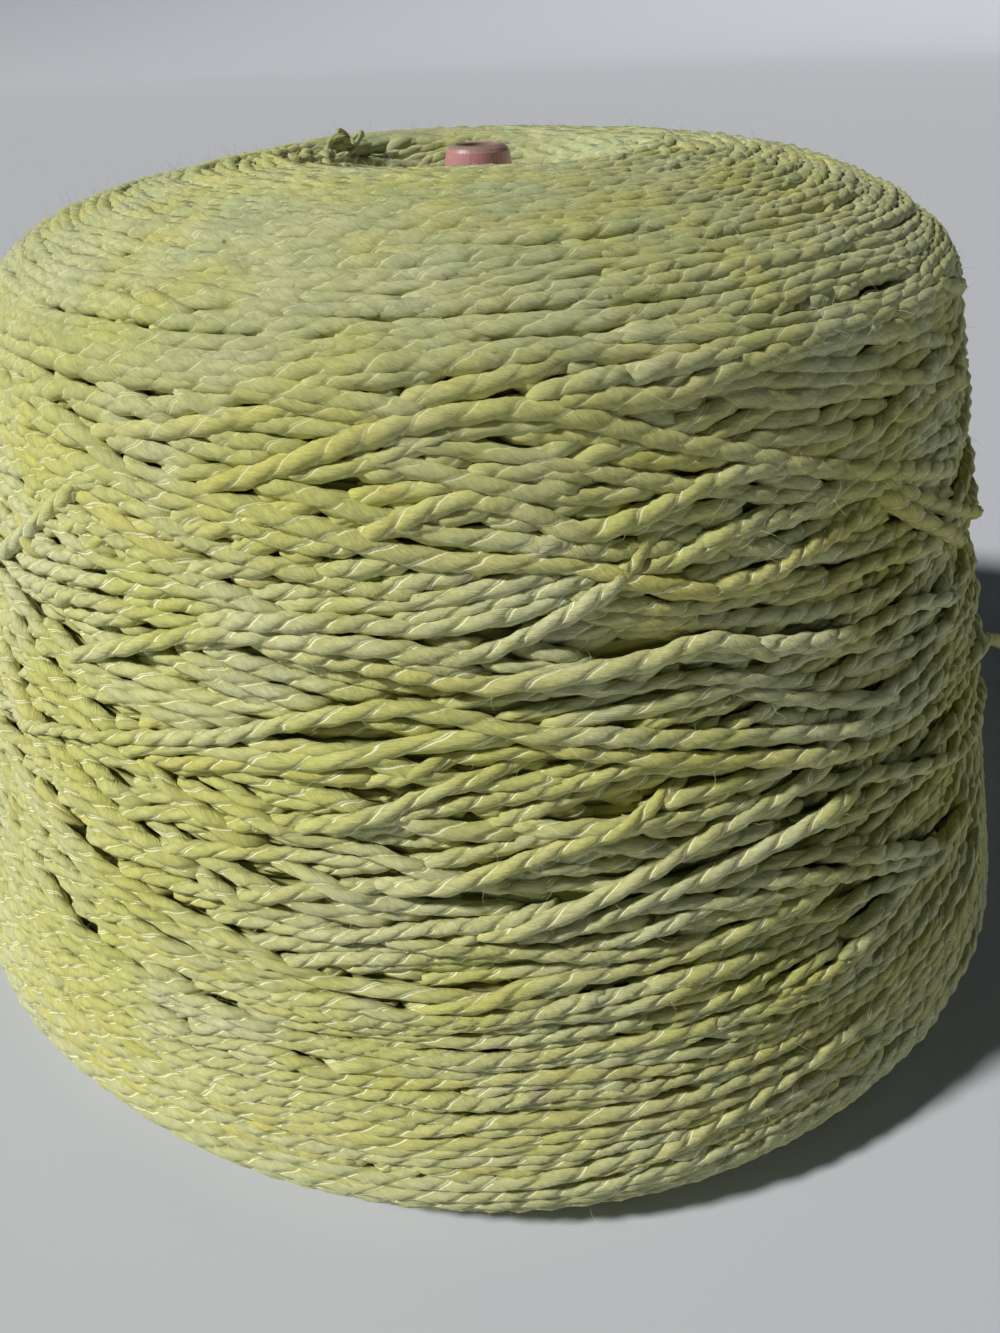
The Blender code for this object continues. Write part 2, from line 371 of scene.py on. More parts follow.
def package_outline():
    """The package's outline from the cone's nose out, down and in under the foot, evenly
    stepped: distance along it, radius, height, and the outward direction's two parts."""
    t = np.linspace(0.0, 1.0, 200)
    quarter = t * math.pi / 2
    dip_r = NOSE_CLEARANCE_RADIUS + (CREST_RADIUS - NOSE_CLEARANCE_RADIUS) * t
    dip_z = DIP_HEIGHT + (CREST_HEIGHT - DIP_HEIGHT) * np.sin(quarter)
    top_r = CREST_RADIUS + (SHOULDER_RADIUS - CREST_RADIUS) * np.sin(quarter) ** SHOULDER_POWER
    top_rise = np.cos(quarter).clip(0) ** SHOULDER_POWER
    top_z = SHOULDER_HEIGHT + (CREST_HEIGHT - SHOULDER_HEIGHT) * top_rise
    side_r = SHOULDER_RADIUS + (WIDEST_RADIUS - SHOULDER_RADIUS) * t
    side_z = SHOULDER_HEIGHT + (WIDEST_HEIGHT - SHOULDER_HEIGHT) * t
    foot_r = FOOT_RADIUS + (WIDEST_RADIUS - FOOT_RADIUS) * np.cos(quarter).clip(0) ** FOOT_POWER
    foot_z = WIDEST_HEIGHT * (1 - np.sin(quarter) ** FOOT_POWER)
    base_r = FOOT_RADIUS + (BASE_INNER_RADIUS - FOOT_RADIUS) * t
    r = np.concatenate([dip_r[:-1], top_r[:-1], side_r[:-1], foot_r[:-1], base_r])
    z = np.concatenate([dip_z[:-1], top_z[:-1], side_z[:-1], foot_z[:-1], base_r * 0])
    along = np.concatenate([[0.0], np.cumsum(np.hypot(np.diff(r), np.diff(z)))])
    even = np.arange(0.0, along[-1], GRID_STEP)
    r = np.interp(even, along, r)
    z = np.interp(even, along, z)
    dr = np.gradient(r)
    dz = np.gradient(z)
    size = np.hypot(dr, dz)
    return even, r, z, -dz / size, dr / size


OUT_S, OUT_R, OUT_Z, OUT_NR, OUT_NZ = package_outline()
CREST_ROW = int(np.argmax(OUT_Z))
CREST_S = float(OUT_S[CREST_ROW])
WIDEST_ROW = int(np.argmax(OUT_R))
WIDEST_S = float(OUT_S[WIDEST_ROW])
END_S = float(OUT_S[-1])


def radius_at(s):
    return np.interp(s, OUT_S, OUT_R)


def bell(angle, centre, width):
    """One at an angle round the package, falling off to both sides of it."""
    away = np.arctan2(np.sin(angle - centre), np.cos(angle - centre))
    return np.exp(-(away / width) ** 2)


def unevenness(angle, height):
    """Outward swell of the package, a belly on one side and a foot drawn in beside it."""
    rise = np.exp(-((height - BELLY_HEIGHT) / BELLY_REACH) ** 2)
    belly = BELLY * bell(angle, BELLY_ANGLE, BELLY_SPREAD) * rise
    low = np.exp(-(height / FOOT_CUT_REACH) ** 2)
    return belly - FOOT_CUT * bell(angle, FOOT_CUT_ANGLE, FOOT_CUT_SPREAD) * low


def on_package(s, angle, lift):
    """Points at outline distance s and an angle, lifted off the package's outline. The yarn
    is wound a little off the cone's axis, and one shoulder of it is pressed in."""
    r = radius_at(s)
    z = np.interp(s, OUT_S, OUT_Z)
    upper = np.clip((z - SHOULDER_HEIGHT) / DENT_EASE + 0.5, 0, 1)
    near = np.exp(-((r - DENT_RADIUS) / DENT_REACH) ** 2)
    dent = DENT * bell(angle, DENT_ANGLE, DENT_SPREAD) * near
    lift = lift + unevenness(angle, z) - dent * upper
    shift = OFF_CENTRE * np.clip((r - NOSE_CLEARANCE_RADIUS) / OFF_CENTRE_EASE, 0, 1)
    r = r + np.interp(s, OUT_S, OUT_NR) * lift
    z = z + np.interp(s, OUT_S, OUT_NZ) * lift
    return np.stack([r * np.cos(angle) + shift, r * np.sin(angle), z], axis=-1)


def smooth(values, width):
    """Moving average over a number of samples, twice, with the ends held."""
    width = max(int(width) | 1, 1)
    kernel = np.ones(width) / width
    for _ in range(2):
        padded = np.pad(values, width // 2, mode="edge")
        values = np.convolve(padded, kernel, mode="valid")
    return values


def moving_mean(grid, reach, axis, mode):
    """Mean of a grid over a reach to both sides, along one of its axes."""
    padding = [(0, 0), (0, 0)]
    padding[axis] = (reach + 1, reach)
    total = np.cumsum(np.pad(grid, padding, mode=mode), axis=axis)
    size = grid.shape[axis]
    window = 2 * reach + 1
    upper = np.take(total, range(window, window + size), axis=axis)
    lower = np.take(total, range(size), axis=axis)
    return (upper - lower) / window


def wander(rng, count, step, wavelength, size):
    """Smooth random drift along a strand."""
    knots = max(int(count * step / wavelength) + 3, 4)
    at = np.linspace(0, count - 1, knots)
    drift = np.interp(np.arange(count), at, rng.normal(0, size, knots))
    return smooth(drift, wavelength / step / 2)


def even_path(s, angle, step):
    """The same path with even steps of real length."""
    r = radius_at(s)
    ds = np.diff(s)
    da = np.diff(angle) * (r[1:] + r[:-1]) / 2
    along = np.concatenate([[0.0], np.cumsum(np.hypot(ds, da))])
    count = max(int(along[-1] / step), 4)
    even = np.linspace(0.0, along[-1], count)
    return np.interp(even, along, s), np.interp(even, along, angle)


def taut_line(rest, curve):
    """Height of a thread pulled taut over its supports. Its free spans are straight in space,
    which is a rise of curve along the package's round surface."""
    lowered = rest - curve
    count = len(rest)
    held = [0]
    for i in range(1, count):
        while len(held) > 1:
            a, b = held[-2], held[-1]
            if (lowered[b] - lowered[a]) * (i - a) <= (lowered[i] - lowered[a]) * (b - a):
                held.pop()
            else:
                break
        held.append(i)
    return np.interp(np.arange(count), held, lowered[held]) + curve


def smooth_route(points, step):
    """Evenly stepped points along a smooth curve through a route's own points."""
    points = np.array(points, dtype=float)
    ends = np.concatenate([[2 * points[0] - points[1]], points, [2 * points[-1] - points[-2]]])
    fine = []
    for a, b, c, d in zip(ends[:-3], ends[1:-2], ends[2:-1], ends[3:]):
        for t in np.linspace(0.0, 1.0, 24, endpoint=False):
            fine.append(0.5 * (2 * b + (c - a) * t + (2 * a - 5 * b + 4 * c - d) * t * t
                               + (3 * b - 3 * c + d - a) * t ** 3))
    fine = np.array(fine + [points[-1]])
    along = np.concatenate([[0.0], np.cumsum(np.linalg.norm(np.diff(fine, axis=0), axis=1))])
    count = max(int(round(along[-1] / step)) + 1, 3)
    even = np.linspace(0.0, along[-1], count)
    return np.stack([np.interp(even, along, fine[:, k]) for k in range(fine.shape[1])], axis=1)


def seen_place(x, y):
    """Outline distance and angle where a pixel of the photograph meets the package."""
    right, down, forward = camera_axes()
    ray = (forward + right * ((x - PHOTO_WIDTH / 2) / FOCAL_PIXELS)
           + down * ((y - PHOTO_HEIGHT / 2) / FOCAL_PIXELS))
    t = np.linspace(0.04, 0.42, 1500)
    px = ray.x * t
    py = ray.y * t - CAMERA_DISTANCE
    pz = ray.z * t + CAMERA_HEIGHT
    angle = np.arctan2(py, px)
    r = np.hypot(px, py) - unevenness(angle, pz)
    upper_z = np.interp(r, OUT_R[:WIDEST_ROW], OUT_Z[:WIDEST_ROW])
    side_r = np.interp(pz, OUT_Z[CREST_ROW:][::-1], OUT_R[CREST_ROW:][::-1])
    over = np.maximum(pz - upper_z, np.where(pz < SHOULDER_HEIGHT, r - side_r, -1.0))
    over[pz < 0] = 1.0
    inside = np.flatnonzero(over < 0)
    hit = inside[0] if len(inside) else int(np.argmin(over))
    if pz[hit] > SHOULDER_HEIGHT:
        s = np.interp(r[hit], OUT_R[:WIDEST_ROW], OUT_S[:WIDEST_ROW])
    else:
        s = np.interp(pz[hit], OUT_Z[CREST_ROW:][::-1], OUT_S[CREST_ROW:][::-1])
    return float(s), float(angle[hit])


class Winding:
    """The yarn laid so far: strands, and the height of the surface on a grid of outline
    distance and angle."""

    def __init__(self, rng):
        self.rng = rng
        self.heights = np.full((len(OUT_S), GRID_COLUMNS), BASE_LIFT)
        self.strands = []

    def cells(self, s, angle, offsets):
        """Grid cells across a path, and the offsets of their columns."""
        r = radius_at(s)
        ds = np.gradient(s)
        da = np.gradient(angle) * r
        size = np.hypot(ds, da)
        across_s = (da / size)[:, None] * offsets
        across_a = (-ds / size / r)[:, None] * offsets
        rows = np.rint((s[:, None] + across_s) / GRID_STEP).astype(int)
        columns = np.rint((angle[:, None] + across_a) * GRID_COLUMNS / math.tau).astype(int)
        return rows.clip(0, len(OUT_S) - 1), columns % GRID_COLUMNS

    def settled(self, s, angle, width):
        """The path after the soft yarn has slid sideways into the grooves beside it."""
        reach = np.linspace(-1.0, 1.0, 9) * SETTLE_REACH
        rows, columns = self.cells(s, angle, reach)
        ground = self.heights[rows, columns]
        wide = max(int(width / (reach[1] - reach[0]) / 1.5), 1)
        kernel = np.ones(2 * wide + 1)
        spread = np.stack([np.convolve(np.pad(row, wide, mode="edge"), kernel, mode="valid")
                           for row in ground[::4]]) / len(kernel)
        cost = np.stack([smooth(column, 0.010 / LAY_STEP / 4) for column in spread.T], axis=1)
        weight = np.exp(-(cost - cost.min(axis=1, keepdims=True)) / SETTLE_EASE)
        shift = (weight * reach).sum(axis=1) / weight.sum(axis=1)
        shift = smooth(shift, 0.012 / LAY_STEP / 4)
        shift = np.interp(np.arange(len(s)), np.arange(0, len(s), 4), shift)
        return (s + shift).clip(0.0, END_S)

    def lay(self, s, angle, width=LAID_WIDTH, tautness=TAUTNESS, dives=(0.0, 0.0),
            settle=True, group="wound", tint=None):
        """Lay one strand over the others. A dive tucks an end under the surface."""
        s, angle = even_path(s, angle, LAY_STEP)
        s = s.clip(0.0, END_S)
        if settle:
            s = self.settled(s, angle, width)
        offsets = np.linspace(-0.5, 0.5, 7) * width
        rows, columns = self.cells(s, angle, offsets)
        under = self.heights[rows, columns][:, 1:-1]
        rest = 0.4 * under.max(axis=1) + 0.6 * under.mean(axis=1)
        bend = np.maximum(np.interp(s, OUT_S, OUT_NR), 0.12) / radius_at(s)
        curve = np.cumsum(np.cumsum(bend)) * LAY_STEP ** 2
        taut = taut_line(rest, curve)
        lift = tautness * taut + (1 - tautness) * rest
        centre = smooth(lift, 0.004 / LAY_STEP) + SINK * width / 2
        reach = 0.016 / LAY_STEP
        for depth, away in zip(dives, (np.arange(len(s)), np.arange(len(s))[::-1])):
            ramp = (away / reach).clip(0, 1)
            centre = centre - depth * (1 - ramp * ramp * (3 - 2 * ramp))
        tops = centre[:, None] + np.sqrt(np.maximum((width / 2) ** 2 - offsets ** 2, 0))
        np.maximum.at(self.heights, (rows, columns), tops)
        self.strands.append((s, angle, centre, width, group, tint))

    def traverses(self):
        """Continuous yarn from foot to shoulder and back, each pass beside an earlier one."""
        rng = self.rng
        angle = rng.uniform(0, math.tau)
        start = WIDEST_S + 0.01
        for k in range(TRAVERSES):
            upward = k % 2 == 0
            if upward:
                end = 0.004 + 0.094 * rng.random() ** 0.85
            else:
                end = WIDEST_S - 0.006 + 0.085 * rng.random() ** 1.25
            jitter = rng.normal(0, 0.32)
            turn = TURNS_PER_TRAVERSE * math.tau + NEIGHBOUR_TURN / 4 * (1 + jitter * 2)
            if rng.random() < 0.08:
                turn += rng.uniform(-0.8, 0.8)
            count = TRAVERSE_SAMPLES
            phase = np.linspace(-math.pi / 2, math.pi / 2, count)
            corner = math.asin(CORNER_SHARPNESS)
            sweep = np.arcsin(CORNER_SHARPNESS * np.sin(phase)) / corner
            s = start + (end - start) * (sweep + 1) / 2
            a = angle + turn * np.linspace(0, 1, count)
            step = turn * MEAN_RADIUS / count
            fade = np.sin(np.linspace(0, math.pi, count)) ** 0.5
            s = s + wander(rng, count, step, 0.06, 0.0006) * fade
            s = s + wander(rng, count, step, 0.20, 0.0018) * fade
            self.lay(s, a, LAID_WIDTH * (1 + rng.normal(0, WIDTH_SPREAD)))
            start = end
            angle += turn

    def parallel_turns(self):
        """Turns side by side, low on the foot and over the shoulder, where the winder slows."""
        rng = self.rng
        zones = [(WIDEST_S - 0.034, WIDEST_S + 0.012, 8), (CREST_S + 0.012, CREST_S + 0.062, 9)]
        for low, high, count in zones:
            for k in range(count):
                number = rng.uniform(3.5, 6.5)
                samples = int(number * TURN_SAMPLES)
                t = np.linspace(0.0, 1.0, samples)
                rise = number * LAID_WIDTH * 1.12 * rng.choice([-1, 1])
                start = low + (high - low) * (k + rng.uniform(0.1, 0.9)) / count - rise / 2
                step = number * math.tau * MEAN_RADIUS / samples
                s = start + rise * t + wander(rng, samples, step, 0.12, 0.0012)
                turned = rng.uniform(0, math.tau) + number * math.tau * t
                self.lay(s, turned, LAID_WIDTH * (1 + rng.normal(0, WIDTH_SPREAD)),
                         dives=(TUCK_DEPTH, TUCK_DEPTH))

    def slack_turns(self):
        """Steeper turns that cross the others on the sides away from the photograph."""
        rng = self.rng
        for _ in range(SLACK_TURNS):
            middle = math.radians(rng.uniform(-12, 192))
            spread = math.radians(rng.uniform(30, 85))
            length = 2 * spread * MEAN_RADIUS
            slope = math.tan(math.radians(rng.choice([-1, 1]) * rng.uniform(4, 24)))
            samples = SLACK_SAMPLES
            t = np.linspace(-0.5, 0.5, samples)
            bow = rng.normal(0, 0.010) * (t * t * 4)
            s = WIDEST_S - rng.uniform(0.012, 0.125) + slope * length * t + bow
            s = s + wander(rng, samples, length / samples, 0.04, 0.0014)
            self.lay(s, middle + 2 * spread * t, LAID_WIDTH * rng.uniform(0.98, 1.12),
                     tautness=SLACK_TAUTNESS, dives=(TUCK_DEPTH, TUCK_DEPTH), settle=False,
                     group="outer")

    def top_strands(self):
        """The strands that lie on top in the photograph, each tucked in past what shows."""
        for name, pixels in {**TOP_STRANDS, **CROWN_STRANDS}.items():
            places = [seen_place(x, y) for x, y in smooth_route(pixels, TOP_PIXEL_STEP)]
            s = smooth(np.array([place[0] for place in places]), 3)
            angle = smooth(np.unwrap([place[1] for place in places]), 3)
            dives = [TUCK_DEPTH, TUCK_DEPTH]
            if name == "one with a cut end":
                dives[1] = 0.0
            self.lay(s, angle, LAID_WIDTH * TOP_WIDER, tautness=TOP_TAUTNESS, dives=dives,
                     settle=False, group="outer",
                     tint=CROWN_TINT if name in CROWN_STRANDS else None)

    def level(self):
        """Smooth height of the finished surface, which is set on the package's outline."""
        rows = int(LEVEL_REACH / GRID_STEP)
        columns = int(LEVEL_REACH / (math.tau * MEAN_RADIUS / GRID_COLUMNS))
        by_rows = moving_mean(self.heights, rows, 0, "edge")
        return moving_mean(by_rows, columns, 1, "wrap")

    def looseness(self, rows):
        """One in the loose band round the package's middle, and nothing at the foot and over
        the shoulder, where the yarn is pressed flat."""
        height = OUT_Z[rows]
        above_foot = np.clip((height - CALM_FOOT_HEIGHT) / CALM_EASE + 0.5, 0, 1)
        below_shoulder = np.clip((CALM_SHOULDER_HEIGHT - height) / CALM_EASE + 0.5, 0, 1)
        return above_foot * below_shoulder

    def lift(self, level, rows, columns, heights):
        """Lift off the package's outline of heights on the grid."""
        relief = CALM_RELIEF + (RELIEF - CALM_RELIEF) * self.looseness(rows)
        below = np.clip((OUT_S[rows] - CREST_S) / 0.03, 0, 1)
        offset = CROWN_OFFSET + (SURFACE_OFFSET - CROWN_OFFSET) * below
        return (heights - level[rows, columns]) * relief + offset

    def runs(self, group, steps_per_turn):
        """Visible runs of a group's strands: points, thickness, turns of the binding thread.
        Their points keep step with the turns, so that each swell has the same shape."""
        level = self.level()
        result = []
        offsets = np.linspace(-0.5, 0.5, 7)
        for index, (s, angle, centre, width, kind, tint) in enumerate(self.strands):
            if kind != group:
                continue
            rows, columns = self.cells(s, angle, offsets * width)
            tops = centre[:, None] + np.sqrt((width / 2) ** 2 * (1 - (2 * offsets) ** 2))
            seen = (tops >= self.heights[rows, columns] - 0.0001)[:, 1:-1].sum(axis=1) > 1
            reach = int(0.0025 / LAY_STEP)
            grown = np.convolve(seen.astype(float), np.ones(2 * reach + 1), mode="same") > 0.5
            lift = smooth(self.lift(level, rows[:, 3], columns[:, 3], centre), 5)
            rng = np.random.default_rng(1000 + index)
            count = len(s)
            pitch = BINDING_PITCH * rng.uniform(0.88, 1.14)
            drift = 1 + wander(rng, count, LAY_STEP, 0.02, 0.16)
            turns = np.cumsum(LAY_STEP / pitch * drift.clip(0.6, 1.6)) + rng.uniform(0, 1)
            thick = 1 + wander(rng, count, LAY_STEP, 0.012, 0.10)
            thick = thick + wander(rng, count, LAY_STEP, 0.05, 0.06)
            thick = thick + PRESSED_WIDER * (1 - self.looseness(rows[:, 3]))
            shade = rng.uniform(0, 1) if tint is None else tint
            shade = shade + wander(rng, count, LAY_STEP, 0.08, 0.2)
            edges = np.flatnonzero(np.diff(np.concatenate([[0], grown.astype(int), [0]])))
            for first, last in zip(edges[::2], edges[1::2]):
                if last - first < 0.005 / LAY_STEP:
                    continue
                below = s[first:last].mean() > WIDEST_S + UNDERSIDE_START
                inside = turns[first:last] * (UNDERSIDE_STEPS if below else steps_per_turn)
                whole = np.arange(math.ceil(inside[0]), math.floor(inside[-1]) + 1)
                pick = np.interp(whole, inside, np.arange(first, last)).astype(int)
                pick = np.unique(np.concatenate([[first], pick, [last - 1]]))
                from_end = np.minimum(pick - first, last - 1 - pick) * LAY_STEP
                tucked = 1 - np.clip(from_end / END_REACH, 0, 1)
                tucked = tucked * tucked
                points = on_package(s[pick], angle[pick], lift[pick] - END_TUCK * tucked)
                result.append((points, thick[pick] * width / LAID_WIDTH * (1 - 0.7 * tucked),
                               turns[pick], shade[pick]))
        return result


class Graph:
    """Short ways to add and join the nodes of one tree."""

    def __init__(self, tree):
        self.tree = tree

    def node(self, kind, **settings):
        made = self.tree.nodes.new(kind)
        for key, value in settings.items():
            setattr(made, key, value)
        return made

    def feed(self, value, socket):
        """Join a socket to another, or set it to a plain value."""
        if isinstance(value, bpy.types.NodeSocket):
            self.tree.links.new(value, socket)
        else:
            socket.default_value = value

    def made(self, kind, inputs, **settings):
        """A node with its inputs fed, by name or by number."""
        node = self.node(kind, **settings)
        for key, value in inputs.items():
            self.feed(value, node.inputs[key])
        return node

    def maths(self, operation, *values):
        return self.made("ShaderNodeMath", dict(enumerate(values)), operation=operation).outputs[0]

    def vector(self, operation, *values):
        node = self.made("ShaderNodeVectorMath", dict(enumerate(values)), operation=operation)
        plain = operation in ("DOT_PRODUCT", "DISTANCE")
        return node.outputs["Value" if plain else "Vector"]

    def join(self, x, y, z):
        return self.made("ShaderNodeCombineXYZ", {0: x, 1: y, 2: z}).outputs[0]

    def split(self, vector):
        return self.made("ShaderNodeSeparateXYZ", {0: vector}).outputs

    def ramp(self, value, low, high, start=0.0, end=1.0):
        """Smooth step of a value from low to high."""
        return self.made("ShaderNodeMapRange",
                         {"Value": value, "From Min": low, "From Max": high, "To Min": start,
                          "To Max": end}, interpolation_type="SMOOTHSTEP").outputs["Result"]

    def blend(self, factor, first, second, mode="MIX"):
        """Mix of two colours, whose sockets are numbers 6 and 7 of a Mix node."""
        return self.made("ShaderNodeMix", {0: factor, 6: first, 7: second}, data_type="RGBA",
                         blend_type=mode).outputs[2]

    def noise(self, vector, scale, detail=2.0, roughness=0.5):
        return self.made("ShaderNodeTexNoise",
                         {"Vector": vector, "Scale": scale, "Detail": detail,
                          "Roughness": roughness}).outputs[0]

    def named(self, name):
        node = self.made("GeometryNodeInputNamedAttribute", {"Name": name}, data_type="FLOAT")
        return node.outputs["Attribute"]


def new_tree(name, kind, inputs, outputs):
    """Empty tree with named sockets: its graph, and the sockets inside it."""
    tree = bpy.data.node_groups.new(name, kind)
    for socket, socket_type in inputs:
        tree.interface.new_socket(socket, in_out="INPUT", socket_type="NodeSocket" + socket_type)
    for socket, socket_type in outputs:
        tree.interface.new_socket(socket, in_out="OUTPUT", socket_type="NodeSocket" + socket_type)
    graph = Graph(tree)
    return graph, graph.node("NodeGroupInput").outputs, graph.node("NodeGroupOutput").inputs


def yarn_tree():
    """Centre lines to spun yarn: a round body with a swell between the turns of its binding
    thread, never under the floor, and a UV map of turns and way round."""
    graph, given, result = new_tree(
        "spun yarn", "GeometryNodeTree",
        [("Centre Lines", "Geometry"), ("Thickness", "Float"), ("Sides", "Int"),
         ("Swell", "Float"), ("Floor", "Float"), ("Material", "Material")],
        [("Yarn", "Geometry")])
    line = graph.made("GeometryNodeMeshToCurve", {"Mesh": given["Centre Lines"]})
    thick = graph.named("thick")
    radius = graph.made("GeometryNodeSetCurveRadius",
                        {"Curve": line.outputs["Curve"], "Radius": thick})
    ring = graph.made("GeometryNodeCurvePrimitiveCircle",
                      {"Resolution": given["Sides"],
                       "Radius": graph.maths("MULTIPLY", given["Thickness"], 0.5)})
    around = graph.maths("DIVIDE", graph.node("GeometryNodeInputIndex").outputs[0],
                         given["Sides"])
    way = graph.made("GeometryNodeStoreNamedAttribute",
                     {"Geometry": ring.outputs["Curve"], "Name": "way_round", "Value": around},
                     data_type="FLOAT", domain="POINT")
    tube = graph.made("GeometryNodeCurveToMesh",
                      {"Curve": radius.outputs["Curve"], "Profile Curve": way.outputs["Geometry"],
                       "Fill Caps": True})
    if "Scale" in tube.inputs:
        graph.feed(thick, tube.inputs["Scale"])
    turns = graph.named("turns")
    round_way = graph.named("way_round")
    phase = graph.maths("ADD", turns, graph.maths("MULTIPLY", round_way, PLIES))
    wave = graph.maths("COSINE", graph.maths("MULTIPLY", phase, math.tau))
    push = graph.maths("MULTIPLY", graph.maths("MULTIPLY", wave, given["Swell"]),
                       graph.maths("MULTIPLY", given["Thickness"], -1.0))
    shift = graph.made("ShaderNodeVectorMath",
                       {0: graph.node("GeometryNodeInputNormal").outputs["Normal"],
                        "Scale": push}, operation="SCALE")
    swelled = graph.made("GeometryNodeSetPosition",
                         {"Geometry": tube.outputs["Mesh"], "Offset": shift.outputs["Vector"]})
    place = graph.split(graph.node("GeometryNodeInputPosition").outputs["Position"])
    above = graph.join(place[0], place[1], graph.maths("MAXIMUM", place[2], given["Floor"]))
    rested = graph.made("GeometryNodeSetPosition",
                        {"Geometry": swelled.outputs["Geometry"], "Position": above})
    middle = graph.made("GeometryNodeFieldOnDomain", {0: round_way}, data_type="FLOAT",
                        domain="FACE")
    seam = graph.maths("GREATER_THAN", graph.maths("SUBTRACT", middle.outputs[0], round_way), 0.21)
    chart = graph.join(turns, graph.maths("ADD", round_way, seam), 0.0)
    store = graph.made("GeometryNodeStoreNamedAttribute",
                       {"Geometry": rested.outputs["Geometry"], "Name": "UVMap", "Value": chart},
                       data_type="FLOAT2", domain="CORNER")
    shade = graph.made("GeometryNodeSetShadeSmooth", {"Geometry": store.outputs["Geometry"]})
    real = graph.made("GeometryNodeRealizeInstances", {"Geometry": shade.outputs["Geometry"]})
    paint = graph.made("GeometryNodeSetMaterial", {"Geometry": real.outputs["Geometry"],
                                                   "Material": given["Material"]})
    graph.feed(paint.outputs["Geometry"], result["Yarn"])
    return graph.tree


def apply_tree(name, source, tree, values):
    """Run a Geometry Nodes tree on an object and keep the result as a plain mesh object."""
    modifier = source.modifiers.new("make", "NODES")
    modifier.node_group = tree
    sockets = {item.name: item.identifier for item in tree.interface.items_tree
               if item.in_out == "INPUT"}
    for key, value in values.items():
        modifier[sockets[key]] = value
    bpy.context.view_layer.update()
    evaluated = source.evaluated_get(bpy.context.evaluated_depsgraph_get())
    mesh = bpy.data.meshes.new_from_object(evaluated)
    mesh.name = name
    bpy.data.objects.remove(source)
    piece = bpy.data.objects.new(name, mesh)
    bpy.context.scene.collection.objects.link(piece)
    return piece


def line_object(name, runs):
    """Loose edges along the middle of each run, with its thickness, turns and tint."""
    points = np.concatenate([run[0] for run in runs])
    edges = []
    first = 0
    for run in runs:
        last = first + len(run[0])
        edges.extend(zip(range(first, last - 1), range(first + 1, last)))
        first = last
    mesh = bpy.data.meshes.new(name)
    mesh.from_pydata(points.tolist(), edges, [])
    for column, key in enumerate(("thick", "turns", "tint"), 1):
        values = np.concatenate([run[column] for run in runs])
        mesh.attributes.new(key, "FLOAT", "POINT").data.foreach_set("value", values)
    item = bpy.data.objects.new(name, mesh)
    bpy.context.scene.collection.objects.link(item)
    return item


